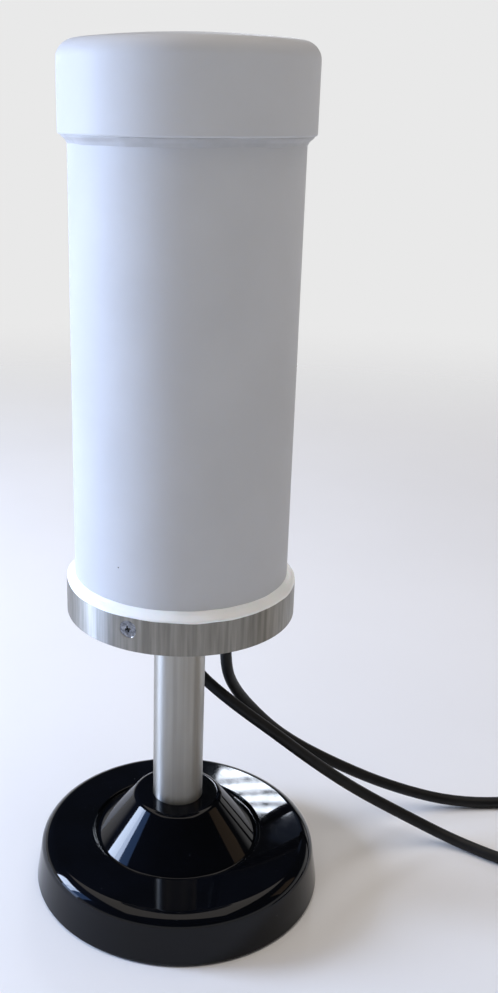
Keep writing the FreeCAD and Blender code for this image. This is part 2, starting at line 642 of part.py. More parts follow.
def coupling_nut():
    """Fluted nut, with an inward shoulder that holds it on the plug's journal."""
    end = NUT_START + NUT_LENGTH
    hole = JOURNAL_RADIUS + RUNNING_GAP
    step = NUT_START + NUT_SHOULDER
    nut = turned(path([
        (hole, NUT_START), (NUT_RADIUS - 1.2, NUT_START), (NUT_RADIUS, NUT_START + 1.2),
        (NUT_RADIUS, end - 1), (NUT_RADIUS - 1, end), (NUT_THREAD_RADIUS, end), (NUT_THREAD_RADIUS, step),
        (hole, step), (hole, NUT_START),
    ]))
    for k in range(FLUTES):
        at = polar(NUT_RADIUS + 0.35, 360 / FLUTES * k)
        nut = nut.cut(cylinder(FLUTE_RADIUS, FLUTE_SPAN[0], FLUTE_SPAN[1], at.x, at.y))
    return nut


def connector_parts(number, place, heading):
    """Screw-coupled coaxial plug with a captive nut, modelled along +Z from the rear of its sleeve."""
    bore = CABLE_RADIUS + FIT_GAP
    neck = FERRULE_RADIUS + FIT_GAP
    socket, shield = SHIELD_RADII
    ferrule = ring(FERRULE_RADIUS, bore, FERRULE_START, PLUG_START)
    sleeve = ring(SLEEVE_RADIUS, neck, 2, SLEEVE_LENGTH)
    sleeve = sleeve.fuse(turned(path([
        (bore, 0), (SLEEVE_RADIUS - 0.6, 0), (SLEEVE_RADIUS, 2), (neck, FERRULE_START - 0.1),
        (bore, FERRULE_START - 0.1), (bore, 0),
    ])))
    body = turned(path([
        (0, PLUG_START), (PLUG_RADIUS, PLUG_START), (PLUG_RADIUS, JOURNAL_START),
        (JOURNAL_RADIUS, JOURNAL_START), (JOURNAL_RADIUS, SHIELD_START), (SHIELD_FLANGE, SHIELD_START),
        (SHIELD_FLANGE, SHIELD_START + 2), (shield, SHIELD_START + 2), (shield, PLUG_END),
        (socket, PLUG_END), (socket, PIN_START), (0, PIN_START), (0, PLUG_START),
    ]))
    shoulder = PIN_START + PIN_LENGTH - 2.5
    tip = cone(PIN_RADIUS, PIN_TIP, shoulder, PIN_START + PIN_LENGTH)
    pieces = {
        "crimp_ferrule": ferrule,
        "heat_shrink": sleeve,
        "connector_body": body,
        "coupling_nut": coupling_nut(),
        "contact_pin": cylinder(PIN_RADIUS, PIN_START, shoulder).fuse(tip),
        "insulator": ring(INSULATOR_RADIUS, PIN_RADIUS + FIT_GAP, PIN_START + FIT_GAP, GASKET_LEVEL),
        "connector_gasket": ring(GASKET_RADIUS, shield + 0.1, SHIELD_START + 2 + FIT_GAP, GASKET_LEVEL),
    }
    turn = math.degrees(math.atan2(heading.y, heading.x))
    for name, shape in pieces.items():
        shape.rotate(V(0, 0, 0), V(0, 1, 0), 90)
        shape.rotate(V(0, 0, 0), V(0, 0, 1), turn)
        shape.translate(place)
        export(f"{name}_{number}", shape)
    for label, reach in (("nut middle", NUT_START + NUT_LENGTH / 2), ("front", NUT_START + NUT_LENGTH)):
        print(f"connector {number} {label}: {[round(v, 2) for v in place + heading * reach]}")


def main():
    os.makedirs("parts", exist_ok=True)
    foot_parts()
    mast_parts()
    flange_parts()
    cap_parts()
    for number, angle in enumerate(GLAND_ANGLES, 1):
        gland_parts(number, polar(GLAND_CIRCLE, angle))
    ground_parts()
    column_parts()
    radiator_parts()
    feed_leads()
    cable_parts(1, ROUTE_1, COIL_1)
    cable_parts(2, ROUTE_2, COIL_2)


main()
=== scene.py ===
import json
import math

import bmesh
import bpy
from bpy.props import FloatProperty, FloatVectorProperty, PointerProperty
from mathutils import Matrix, Vector, noise


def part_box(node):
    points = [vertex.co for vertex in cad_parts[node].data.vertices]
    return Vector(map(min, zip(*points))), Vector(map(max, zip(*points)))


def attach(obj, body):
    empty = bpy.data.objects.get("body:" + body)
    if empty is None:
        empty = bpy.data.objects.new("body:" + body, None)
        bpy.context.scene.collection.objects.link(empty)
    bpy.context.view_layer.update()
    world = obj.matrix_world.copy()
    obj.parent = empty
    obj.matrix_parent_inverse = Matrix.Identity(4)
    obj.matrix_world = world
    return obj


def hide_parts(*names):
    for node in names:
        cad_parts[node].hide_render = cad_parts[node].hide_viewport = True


bl_info = {
    "name": "Omnidirectional antenna",
    "version": (1, 0, 0),
    "blender": (4, 5, 0),
    "location": "3D View > Sidebar > Antenna",
    "description": "Two-port omnidirectional antenna on a round foot, built piece by piece on its CAD frame",
    "category": "Object",
}

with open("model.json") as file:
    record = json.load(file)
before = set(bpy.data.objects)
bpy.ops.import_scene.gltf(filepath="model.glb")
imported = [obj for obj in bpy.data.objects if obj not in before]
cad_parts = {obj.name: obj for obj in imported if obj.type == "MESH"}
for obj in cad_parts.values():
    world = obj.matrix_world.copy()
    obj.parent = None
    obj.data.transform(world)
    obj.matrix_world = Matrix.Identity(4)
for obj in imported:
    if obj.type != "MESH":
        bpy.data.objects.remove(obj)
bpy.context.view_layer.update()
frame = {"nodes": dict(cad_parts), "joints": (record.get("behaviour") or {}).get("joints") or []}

MM = 0.001
TOLERANCE = 1e-6

# sockets of a colour Mix node, whose names repeat for each kind of data
MIX_FACTOR, MIX_A, MIX_B, MIX_RESULT = 0, 6, 7, 2

# ---- sizes, in millimetres ---------------------------------------------------

# foot: outline of the moulded shell, from the skirt's lower edge up to the mast and back inside
FOOT_OUTLINE = (
    (71.7, 0.4), (72.5, 1.2), (68.9, 24.5), (43.0, 26.0), (42.2, 24.6), (40.8, 24.6), (21.55, 47.0),
    (12.55, 47.0), (12.55, 30.0), (15.5, 30.0), (15.5, 44.0), (19.8, 44.0), (39.0, 21.5), (65.9, 21.5),
    (69.5, 0.4),
)
FOOT_ROUNDS = (
    ((72.5, 1.2), 0.6, 3), ((68.9, 24.5), 6.0, 12), ((43.0, 26.0), 0.5, 4), ((42.2, 24.6), 0.25, 2),
    ((40.8, 24.6), 0.5, 3), ((21.55, 47.0), 1.7, 8), ((12.55, 47.0), 0.3, 3),
)
PAD_RADIUS = 69.0
PAD_RIBS = (20.0, 32.0, 44.0, 56.0)

# coupling nut and plug, along the plug's own axis from the rear of its sleeve
NUT_MIDDLE = 39.0
NUT_RADIUS = 10.3
FLUTES = 24
FLUTE_SPAN = (34.0, 46.0)
FLUTE_DEPTH = 0.6

# hexagons of the glands, 15 mm across flats: from the axis to a corner
HEX_CORNER = 15.0 / 2 / math.cos(math.pi / 6)

# The free cables: corner points of the route from the gland to the coil.
ROUTE_1 = (
    (23.3, 23.8, 127), (23.3, 23.8, 109), (27.5, 33.5, 90.5), (38.5, 44, 71), (57, 50, 50),
    (85, 53, 32), (121, 56, 14), (160, 57, 3), (203, 60, 3), (244, 61, 3),
)
ROUTE_2 = (
    (2, 33.2, 127), (2, 33.2, 115), (5.7, 32.6, 103.7), (13, 31, 94.5), (29, 25.5, 83),
    (50, 23, 68), (73, 25, 48.5), (97, 28, 30), (125, 28, 14), (150, 23, 3), (172, 7, 3),
    (204, -10, 3), (234.3, -27.9, 3),
)
# coil centre, angle where the cable joins the coil, turns before the tail leaves, angle where it leaves
COIL_1 = ((244.0, 20.8), 90.0, 3.25, 0.0)
COIL_2 = ((213.0, -62.0), 58.0, 3.0361, 45.0)
COIL_RADIUS = 40.2
COIL_PITCH = 6.2
POINTS_PER_TURN = 18
TAIL_RADIUS = 32.5
TAIL_LEVEL = 9.1
TAIL_RUN = 31.5
# the cable's axis when it lies on the floor, turns made there, and the part of a turn in which it climbs
CABLE_LEVEL = 3.0
FLAT_TURNS = 2.0
CLIMB_TURNS = 0.3
# how far the tail rises to the plug's axis, where on its run the rise is made, and its length inside the plug
TAIL_RISE = 1.4
RISE_AT = 0.7
TAIL_IN_PLUG = 22.0
BOOT_END = 120.0

# camera: its place in millimetres, its turns in radians, its lens in millimetres
CAMERA_DISTANCE, CAMERA_HEIGHT = 483.999, 376.2
CAMERA_YAW, CAMERA_PITCH, CAMERA_ROLL = -0.01185, 0.3375, 0.01076
CAMERA_LENS, CAMERA_SENSOR, CAMERA_SHIFT = 40.068, 36.0, 0.08

# floor, in metres: its edge, and where it starts and ends fading out
FLOOR_RADIUS = 1.9
FADE_FROM, FADE_TO = 0.5, 1.6


# ---- settings ----------------------------------------------------------------

def linear(code):
    """The linear colour of an sRGB hex value."""
    channels = [int(code[i:i + 2], 16) / 255 for i in (0, 2, 4)]
    return tuple(c / 12.92 if c <= 0.04045 else ((c + 0.055) / 1.055) ** 2.4 for c in channels)


def colour(name, description, code):
    return FloatVectorProperty(name=name, description=description, default=linear(code), subtype="COLOR",
                               size=3, min=0, max=1)


class AntennaSizes(bpy.types.PropertyGroup):
    """Sizes that can be changed without leaving the CAD frame."""
    cable_diameter: FloatProperty(
        name="Cable diameter", description="Outer diameter of the two feed cables", default=6 * MM,
        min=4 * MM, max=6 * MM, subtype="DISTANCE", unit="LENGTH")
    cable_length: FloatProperty(
        name="Cable length", description="Real length of each feed cable, coil included", default=1.0,
        min=0.9, max=1.1, subtype="DISTANCE", unit="LENGTH")
    bead_wobble: FloatProperty(
        name="Sealant wobble", description="How far the hand-laid sealant strays from an even bead",
        default=0.45 * MM, min=0, max=0.8 * MM, subtype="DISTANCE", unit="LENGTH")
    edge_round: FloatProperty(
        name="Edge round", description="Radius left on machined edges", default=0.35 * MM,
        min=0.1 * MM, max=0.5 * MM, subtype="DISTANCE", unit="LENGTH")


class AntennaColours(bpy.types.PropertyGroup):
    """Colours of the parts that a buyer would choose."""
    radome: colour("Radome", "Paint on the tube and the cap", "C4C5C8")
    sealant: colour("Sealant", "Silicone beads above and below the tube", "FBFDFD")
    foot: colour("Foot", "Moulded shell of the foot", "06070A")
    metal: colour("Aluminium", "Mast and end flange", "C6C3BC")
    cable: colour("Cable", "Jacket of the feed cables", "0C0C0D")
    floor: colour("Floor", "Studio floor", "F2F2F3")


# ---- materials ---------------------------------------------------------------

def node(tree, kind, inputs=None, **settings):
    """Adds a node, sets it up, and gives each named input a value or a link."""
    made = tree.nodes.new(kind)
    for key, value in settings.items():
        setattr(made, key, value)
    for key, value in (inputs or {}).items():
        if isinstance(value, bpy.types.NodeSocket):
            tree.links.new(value, made.inputs[key])
        else:
            made.inputs[key].default_value = value
    return made


def opaque(rgb):
    return (*tuple(rgb)[:3], 1.0)


def finish(name, tint, shade, metallic, roughness, spread, grain, depth, stretch=(1, 1, 1), cloud=35.0,
           **sockets):
    """A Principled finish. tint and shade mix in soft clouds, cloud mm across. The grain, in mm, gives relief
    of that depth in mm and moves the roughness by the spread. A stretch below 1 draws both out along that
    axis."""
    material = bpy.data.materials.new(name)
    material.use_nodes = True
    tree = material.node_tree
    shader = tree.nodes["Principled BSDF"]
    place = node(tree, "ShaderNodeTexCoord").outputs["Object"]
    drawn = node(tree, "ShaderNodeMapping", {"Vector": place, "Scale": stretch})
    clouds = node(tree, "ShaderNodeTexNoise",
                  {"Vector": drawn.outputs[0], "Scale": 1 / (cloud * MM), "Detail": 3.0})
    grains = node(tree, "ShaderNodeTexNoise",
                  {"Vector": drawn.outputs[0], "Scale": 1 / (grain * MM), "Detail": 4.0})
    mixed = node(tree, "ShaderNodeMapRange", {"Value": clouds.outputs[0], "From Min": 0.35, "From Max": 0.65})
    blend = node(tree, "ShaderNodeMix", data_type="RGBA")
    tree.links.new(mixed.outputs[0], blend.inputs[MIX_FACTOR])
    blend.inputs[MIX_A].default_value = opaque(tint)
    blend.inputs[MIX_B].default_value = opaque(shade)
    gloss = node(tree, "ShaderNodeMapRange", {"Value": grains.outputs[0], "From Min": 0.3, "From Max": 0.7,
                                              "To Min": roughness - spread, "To Max": roughness + spread})
    relief = node(tree, "ShaderNodeBump",
                  {"Height": grains.outputs[0], "Distance": depth * MM, "Strength": 1.0})
    tree.links.new(blend.outputs[MIX_RESULT], shader.inputs["Base Color"])
    tree.links.new(gloss.outputs[0], shader.inputs["Roughness"])
    tree.links.new(relief.outputs[0], shader.inputs["Normal"])
    shader.inputs["Metallic"].default_value = metallic
    for key, value in sockets.items():
        shader.inputs[key.replace("_", " ")].default_value = value
    return material


def flecks(material, rgb, spacing, size, share, height_from=None, height_to=None):
    """Scatters flecks of another colour, size mm across, over a finish: one in each of that share of the
    cells, which lie spacing mm apart. Between the two heights, in mm, they thin out upwards."""
    tree = material.node_tree
    base = tree.nodes["Principled BSDF"].inputs["Base Color"]
    under = base.links[0].from_socket
    place = node(tree, "ShaderNodeTexCoord").outputs["Object"]
    cells = node(tree, "ShaderNodeTexVoronoi", {"Vector": place, "Scale": 1 / (spacing * MM)})
    dot = node(tree, "ShaderNodeMath", {0: cells.outputs["Distance"], 1: size / 2 / spacing},
               operation="LESS_THAN")
    luck = node(tree, "ShaderNodeSeparateColor", {"Color": cells.outputs["Color"]})
    limit = share
    if height_from is not None:
        height = node(tree, "ShaderNodeSeparateXYZ", {"Vector": place})
        limit = node(tree, "ShaderNodeMapRange", {
            "Value": height.outputs["Z"], "From Min": height_from * MM, "From Max": height_to * MM,
            "To Min": share, "To Max": 0.0}).outputs[0]
    chosen = node(tree, "ShaderNodeMath", {0: luck.outputs[0], 1: limit}, operation="LESS_THAN")
    both = node(tree, "ShaderNodeMath", {0: dot.outputs[0], 1: chosen.outputs[0]}, operation="MULTIPLY")
    mix = node(tree, "ShaderNodeMix", {MIX_FACTOR: both.outputs[0], MIX_A: under, MIX_B: opaque(rgb)},
               data_type="RGBA")
    tree.links.new(mix.outputs[MIX_RESULT], base)
    return material


def scale_by(rgb, factor):
    return tuple(min(1.0, c * factor) for c in rgb)


def radome_paint():
    """Satin acrylic enamel sprayed on a filament-wound tube: an even white with a faint orange peel, a shade
    cloudy where the coat is thinner, and a few grains of grit caught near the bottom edge."""
    rgb = bpy.context.scene.antenna_colours.radome
    # orange peel is about 1.6 mm from crest to crest
    paint = finish("satin_enamel_on_fibreglass", rgb, scale_by(rgb, 0.95), 0.0, 0.5, 0.05, 1.6, 0.035,
                   cloud=45.0, IOR=1.47, Specular_IOR_Level=0.13)
    return flecks(paint, linear("4A463F"), 9.0, 0.9, 0.10, 170.0, 250.0)


def cap_paint():
    """The same enamel on the moulded cap, without the grit."""
    rgb = bpy.context.scene.antenna_colours.radome
    return finish("satin_enamel_on_moulded_cap", rgb, scale_by(rgb, 0.96), 0.0, 0.48, 0.05, 1.8, 0.035,
                  cloud=50.0, IOR=1.47, Specular_IOR_Level=0.13)


def sealant():
    """Neutral-cure silicone smoothed with a wet finger: glossy, faintly translucent, rippled every few mm."""
    rgb = bpy.context.scene.antenna_colours.sealant
    return finish("tooled_silicone_sealant", rgb, scale_by(rgb, 0.96), 0.0, 0.18, 0.05, 3.2, 0.12, cloud=12.0,
                  IOR=1.41, Subsurface_Weight=0.15, Subsurface_Scale=1.5 * MM)


def enamelled_sealant_painted_shade():
    """The same silicone under the cap, with the enamel sprayed over it: greyer and flatter, and darker still
    by a painted shade for its place facing down under the lip."""
    # painted shade: the enamel colour darkened to 0.8, as the bead faces down under the lip
    rgb = scale_by(bpy.context.scene.antenna_colours.radome, 0.8)
    return finish("enamelled_silicone_sealant_painted_shade", rgb, scale_by(rgb, 0.9), 0.0, 0.4, 0.08, 3.2, 0.12, cloud=9.0,
                  IOR=1.45, Specular_IOR_Level=0.3)


def spun_shine(material):
    """Draws the highlights out along the axis, as fine rings round a part do."""
    tree = material.node_tree
    shader = tree.nodes["Principled BSDF"]
    way = node(tree, "ShaderNodeTangent", direction_type="RADIAL", axis="Z")
    tree.links.new(way.outputs[0], shader.inputs["Tangent"])
    shader.inputs["Anisotropic"].default_value = 0.85
    shader.inputs["Anisotropic Rotation"].default_value = 0.25
    return material


def turned_aluminium():
    """6061 bar, turned and left bare: soft grey with short axial tool lines and blotches of oxide."""
    rgb = bpy.context.scene.antenna_colours.metal
    # tool lines are about 0.3 mm apart and are drawn 0.8 mm apart so that they show
    return spun_shine(finish("turned_6061_aluminium", scale_by(rgb, 0.61), scale_by(rgb, 0.42), 1.0, 0.42,
                             0.08, 0.8, 0.02, (1, 1, 0.05), 2.2))


def drawn_aluminium():
    """6063 tube, drawn through a die: lengthwise lines and a bright satin bloom."""
    rgb = bpy.context.scene.antenna_colours.metal
    return spun_shine(finish("drawn_6063_aluminium_tube", scale_by(rgb, 0.76), scale_by(rgb, 0.64), 1.0,
                             0.36, 0.05, 0.5, 0.008, (1, 1, 0.02), 3.0))


def gloss_black():
    """High-gloss black ABS from a polished mould: mirror-like, very slightly wavy, with a dusting of lint."""
    rgb = bpy.context.scene.antenna_colours.foot
    shell = finish("polished_black_abs", rgb, linear("080A10"), 0.0, 0.06, 0.02, 5.0, 0.004, cloud=30.0,
                   IOR=1.5, Specular_IOR_Level=0.23)
    return flecks(shell, linear("5A5D62"), 6.0, 0.45, 0.08)


def cable_jacket():
    """Black PVC extruded over braid: low gloss, with the braid showing through as a faint 2 mm ripple."""
    rgb = bpy.context.scene.antenna_colours.cable
    return finish("extruded_black_pvc", rgb, linear("151516"), 0.0, 0.5, 0.06, 2.0, 0.05, cloud=14.0,
                  IOR=1.52, Specular_IOR_Level=0.25)


def moulded_nylon():
    """Glass-filled PA66 from a spark-eroded mould: dead black with a 0.7 mm stipple."""
    return finish("spark_eroded_black_pa66", linear("101012"), linear("17171A"), 0.0, 0.5, 0.08, 0.7, 0.03,
                  cloud=8.0, IOR=1.53)


def soft_rubber():
    """EPDM rubber: matt charcoal with a dusty bloom."""
    return finish("moulded_epdm_rubber", linear("141414"), linear("222222"), 0.0, 0.68, 0.08, 0.9, 0.04,
                  cloud=10.0, IOR=1.5)


def nickel_plate():
    """Bright nickel over turned brass: warm silver with a fine grain."""
    # the grain is drawn 0.6 mm across, coarser than real plating, so that it shows
    return finish("nickel_plated_turned_brass", linear("C9C3B6"), linear("A89F90"), 1.0, 0.2, 0.06, 0.6, 0.01,
                  cloud=6.0)


def gold_plate():
    """Thin gold over brass on the contact: satin yellow."""
    return finish("gold_flashed_brass", linear("E0B65A"), linear("C7963C"), 1.0, 0.22, 0.05, 0.5, 0.006,
                  cloud=3.0)


def bare_brass():
    """Turned free-cutting brass: yellow with a fine grain and light tarnish."""
    return finish("turned_brass", linear("CDAE62"), linear("9A7B3E"), 1.0, 0.3, 0.08, 0.5, 0.01, cloud=8.0)


def bright_zinc():
    """Zinc on steel fasteners: cool silver with a cloudy passivation."""
    return finish("clear_passivated_zinc", linear("C4C7CC"), linear("8B8F96"), 1.0, 0.27, 0.08, 0.6, 0.015,
                  cloud=2.5)


def worn_zinc():
    """Zinc screw heads gone dull: mid grey with dark freckles."""
    return finish("dulled_zinc_screw_head", linear("93959A"), linear("55575B"), 1.0, 0.3, 0.08, 0.6, 0.02,
                  cloud=1.6)


def rolled_steel():
    """Cold-rolled zinc-coated plate: spangled grey."""
    return finish("galvanised_steel_plate", linear("A5A8AB"), linear("7C8085"), 1.0, 0.42, 0.12, 1.2, 0.01,
                  cloud=14.0)


def rolled_aluminium():
    """Half-hard aluminium sheet, as rolled: lines all one way."""
    return finish("rolled_aluminium_sheet", linear("C3C6C8"), linear("A3A6A9"), 1.0, 0.35, 0.08, 0.7, 0.01,
                  (0.04, 1, 1), 20.0)


def fired_ferrite():
    """Sintered ferrite: matt grey-black ceramic with ground faces."""
    return finish("ground_sintered_ferrite", linear("26262A"), linear("35353A"), 0.0, 0.62, 0.1, 1.0, 0.05,
                  cloud=9.0, IOR=2.2)


def white_nylon():
    """Natural nylon: milky and slightly waxy."""
    return finish("natural_nylon_rod", linear("E6E3DA"), linear("D6D2C6"), 0.0, 0.45, 0.06, 1.0, 0.02,
                  cloud=10.0, IOR=1.53, Subsurface_Weight=0.2, Subsurface_Scale=2 * MM)


def white_ptfe():
    """Turned PTFE: chalk white with a faint grain."""
    return finish("turned_ptfe", linear("EDEDEA"), linear("DCDCD8"), 0.0, 0.5, 0.05, 0.5, 0.01, cloud=4.0,
                  IOR=1.35)


def circuit_board():
    """Glass-epoxy laminate: green with a faint mottle from the glass cloth."""
    return finish("green_glass_epoxy", linear("1F5B3A"), linear("17492F"), 0.0, 0.35, 0.06, 0.8, 0.01,
                  cloud=6.0, IOR=1.55)


def tinned_copper():
    """Etched copper with a thin tin coat: pinkish silver, slightly uneven."""
    return finish("tinned_etched_copper", linear("C98F6B"), linear("B9A08E"), 1.0, 0.32, 0.08, 0.7, 0.008,
                  cloud=5.0)


def packing_foam():
    """Open-cell polyether foam: mid grey, 1.2 mm cells."""
    return finish("grey_polyether_foam", linear("6E7072"), linear("5B5D60"), 0.0, 0.9, 0.05, 1.2, 0.6,
                  cloud=12.0)


# ---- mesh tools --------------------------------------------------------------

def chain(bm, points, closed=True):
    """Draws an outline of (radius, height) points, in millimetres, in the XZ plane."""
    verts = [bm.verts.new((radius * MM, 0, height * MM)) for radius, height in points]
    for first, second in zip(verts, verts[1:]):
        bm.edges.new((first, second))
    if closed:
        bm.edges.new((verts[-1], verts[0]))
    return verts


def turn(bm, steps):
    """Spins the outline about the vertical axis, closes the seam and poles, and turns the faces outwards."""
    bmesh.ops.spin(bm, geom=bm.verts[:] + bm.edges[:], axis=(0, 0, 1), cent=(0, 0, 0), angle=2 * math.pi,
                   steps=steps, use_merge=True)
    bmesh.ops.remove_doubles(bm, verts=bm.verts, dist=TOLERANCE)
    bmesh.ops.recalc_face_normals(bm, faces=bm.faces)


def round_ring(bm, corner, size, segments):
    """Rounds the ring-shaped edge at that (radius, height), taking size mm from each face."""
    radius, height = corner

    def on_ring(vert):
        return (abs(math.hypot(vert.co.x, vert.co.y) - radius * MM) < 2 * TOLERANCE
                and abs(vert.co.z - height * MM) < 2 * TOLERANCE)

    loop = [edge for edge in bm.edges if on_ring(edge.verts[0]) and on_ring(edge.verts[1])]
    bmesh.ops.bevel(bm, geom=loop, offset=size * MM, offset_type="OFFSET", segments=segments, profile=0.5,
                    affect="EDGES", material=-1)


def turned(points, rounds=(), steps=192, closed=True):
    """A turned or moulded round part: its outline spun, then each named edge rounded."""
    bm = bmesh.new()
    chain(bm, points, closed)
    turn(bm, steps)
    for corner, size, segments in rounds:
        round_ring(bm, corner, size, segments)
    return bm


def move(bm, *matrices):
    for matrix in matrices:
        bmesh.ops.transform(bm, matrix=matrix, verts=bm.verts)
    return bm


def join(bm, other):
    """Adds the faces of other to bm."""
    mesh = bpy.data.meshes.new("joined")
    other.to_mesh(mesh)
    other.free()
    bm.from_mesh(mesh)
    bpy.data.meshes.remove(mesh)
    return bm


def carve(bm, tool, operation="DIFFERENCE"):
    """Combines one closed shape with another: a cut, unless another operation is named."""
    holders = []
    for source in (bm, tool):
        mesh = bpy.data.meshes.new("carving")
        source.to_mesh(mesh)
        source.free()
        holder = bpy.data.objects.new("carving", mesh)
        bpy.context.scene.collection.objects.link(holder)
        holders.append(holder)
    modifier = holders[0].modifiers.new("cut", "BOOLEAN")
    modifier.operation = operation
    modifier.object = holders[1]
    modifier.solver = "EXACT"
    result = bmesh.new()
    result.from_object(holders[0], bpy.context.evaluated_depsgraph_get())
    for holder in holders:
        mesh = holder.data
        bpy.data.objects.remove(holder)
        bpy.data.meshes.remove(mesh)
    return result


def finished(name, bm, material, body, replaced=(), crease=35.0):
    """Makes the piece, smooth except at creases, and puts it on its body in place of its CAD nodes."""
    mesh = bpy.data.meshes.new(name)
    bm.to_mesh(mesh)
    bm.free()
    mesh.polygons.foreach_set("use_smooth", [True] * len(mesh.polygons))
    mesh.materials.clear()
    mesh.materials.append(material)
    made = bpy.data.objects.new(name, mesh)
    bpy.context.scene.collection.objects.link(made)
    mesh.set_sharp_from_angle(angle=math.radians(crease))
    flat = made.modifiers.new("flat faces stay flat", "WEIGHTED_NORMAL")
    flat.keep_sharp = True
    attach(made, body)
    if replaced:
        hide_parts(*replaced)
    return made


def middle(name):
    low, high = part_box(name)
    return (Vector(low) + Vector(high)) / 2


def along(heading, place):
    """Turns a part made about the vertical axis to lie along a heading, with its origin at a place."""
    return Matrix.Translation(place) @ Vector(heading).to_track_quat("Z", "Y").to_matrix().to_4x4()


# ---- pieces ------------------------------------------------------------------

class AntennaOperator(bpy.types.Operator):
    """The options that the operators below share."""
    bl_options = {"REGISTER", "UNDO"}


class OBJECT_OT_antenna_stage(AntennaOperator):
    """Camera, pale floor, soft lights and a dim studio round them"""
    bl_idname = "object.antenna_stage"
    bl_label = "Stage and Camera"

    def execute(self, context):
        self.camera(context)
        self.floor(context)
        self.lights(context)
        self.surroundings(context)
        context.scene.view_settings.view_transform = "Standard"
        return {"FINISHED"}

    def camera(self, context):
        yaw, pitch, roll = CAMERA_YAW, CAMERA_PITCH, CAMERA_ROLL
        forward = Vector((math.sin(yaw) * math.cos(pitch), math.cos(yaw) * math.cos(pitch), -math.sin(pitch)))
        right = Vector((math.cos(yaw), -math.sin(yaw), 0))
        up = right.cross(forward)
        across = math.cos(roll) * right + math.sin(roll) * up
        upright = math.cos(roll) * up - math.sin(roll) * right
        data = bpy.data.cameras.new("camera")
        data.sensor_width = CAMERA_SENSOR
        data.lens = CAMERA_LENS
        data.shift_x = CAMERA_SHIFT
        data.clip_start = 0.01
        holder = bpy.data.objects.new("camera", data)
        holder.matrix_world = Matrix.Translation((0, -CAMERA_DISTANCE * MM, CAMERA_HEIGHT * MM)) @ Matrix(
            (across, upright, -forward)).transposed().to_4x4()
        context.scene.collection.objects.link(holder)
        context.scene.camera = holder

    def floor(self, context):
        """A round sheet of paper whose edge fades out into the pale surroundings."""
        bm = bmesh.new()
        bmesh.ops.create_circle(bm, cap_ends=True, segments=96, radius=FLOOR_RADIUS)
        mesh = bpy.data.meshes.new("studio_floor")
        bm.to_mesh(mesh)
        bm.free()
        rgb = context.scene.antenna_colours.floor
        # matt roll paper: nearly white with a faint 3 mm tooth
        paper = finish("matt_paper_sweep", rgb, scale_by(rgb, 0.98), 0.0, 0.85, 0.05, 3.0, 0.02, cloud=200.0,
                       Specular_IOR_Level=0.1)
        tree = paper.node_tree
        place = node(tree, "ShaderNodeTexCoord").outputs["Object"]
        reach = node(tree, "ShaderNodeVectorMath", {0: place}, operation="LENGTH")
        fade = node(tree, "ShaderNodeMapRange",
                    {"Value": reach.outputs["Value"], "From Min": FADE_FROM, "From Max": FADE_TO},
                    interpolation_type="SMOOTHSTEP")
        clear = node(tree, "ShaderNodeBsdfTransparent")
        mix = node(tree, "ShaderNodeMixShader", {
            0: fade.outputs[0], 1: tree.nodes["Principled BSDF"].outputs[0], 2: clear.outputs[0]})
        tree.links.new(mix.outputs[0], tree.nodes["Material Output"].inputs["Surface"])
        mesh.materials.append(paper)
        holder = bpy.data.objects.new("studio_floor", mesh)
        context.scene.collection.objects.link(holder)

    def lights(self, context):
        # name, degrees clockwise from +Y, degrees above the floor, distance, width and height in metres,
        # watts, colour
        lamps = (
            ("window_left", -82, 23, 1.3, 0.26, 0.5, 14.5, "D0E1FF"),
            ("window_left_side", -91.5, 23, 1.3, 0.13, 0.5, 6.0, "C8DCFF"),
            ("sky_left", -101, 24, 1.3, 0.26, 0.5, 1.4, "7FAEFF"),
            ("sky_low", -94, 8, 1.3, 0.4, 0.28, 2.4, "A9C8FF"),
            ("sky_back", 21, 31, 3.0, 0.8, 0.7, 0.55, "9DB6E8"),
            ("lamp_right", 84, 27, 1.5, 0.5, 0.5, 0.45, "FFD9B0"),
            ("overhead", 0, 89, 2.6, 3.4, 3.4, 55.0, "FFF6EC"),
        )
        for lamp in lamps:
            self.lamp(context, *lamp)
        # bright gaps of a slatted window, one above another
        gaps, lowest, apart = 4, 27.2, 1.7
        for number in range(gaps):
            self.lamp(context, f"window_bar_{number + 1}", 8.2, lowest + apart * number, 3.0, 0.36, 0.05, 2.1,
                      "E8F1FF")

    def lamp(self, context, name, azimuth, elevation, distance, width, height, watts, code):
        data = bpy.data.lights.new(name, "AREA")
        data.shape = "RECTANGLE"
        data.size = width
        data.size_y = height
        data.energy = watts
        data.color = linear(code)
        azimuth, elevation = math.radians(azimuth), math.radians(elevation)
        way = Vector((math.sin(azimuth) * math.cos(elevation), math.cos(azimuth) * math.cos(elevation),
                      math.sin(elevation)))
        holder = bpy.data.objects.new(name, data)
        holder.rotation_mode = "QUATERNION"
        holder.rotation_quaternion = way.to_track_quat("Z", "Y")
        holder.location = way * distance
        context.scene.collection.objects.link(holder)

    def surroundings(self, context):
        world = bpy.data.worlds.new("studio")
        context.scene.world = world
        world.use_nodes = True
        tree = world.node_tree
        back = tree.nodes["Background"]
        # pale paper below and up to about 8 degrees above the horizon, a dim room above it
        way = node(tree, "ShaderNodeTexCoord").outputs["Generated"]
        height = node(tree, "ShaderNodeSeparateXYZ", {"Vector": way})
        ramp = node(tree, "ShaderNodeValToRGB", {"Fac": height.outputs["Z"]})
        stops = ramp.color_ramp.elements
        stops[0].position, stops[0].color = 0.14, opaque(linear("E9E9E9"))
        stops[1].position, stops[1].color = 0.22, opaque(linear("2F3136"))
        tree.links.new(ramp.outputs["Color"], back.inputs["Color"])
        back.inputs["Strength"].default_value = 1.0


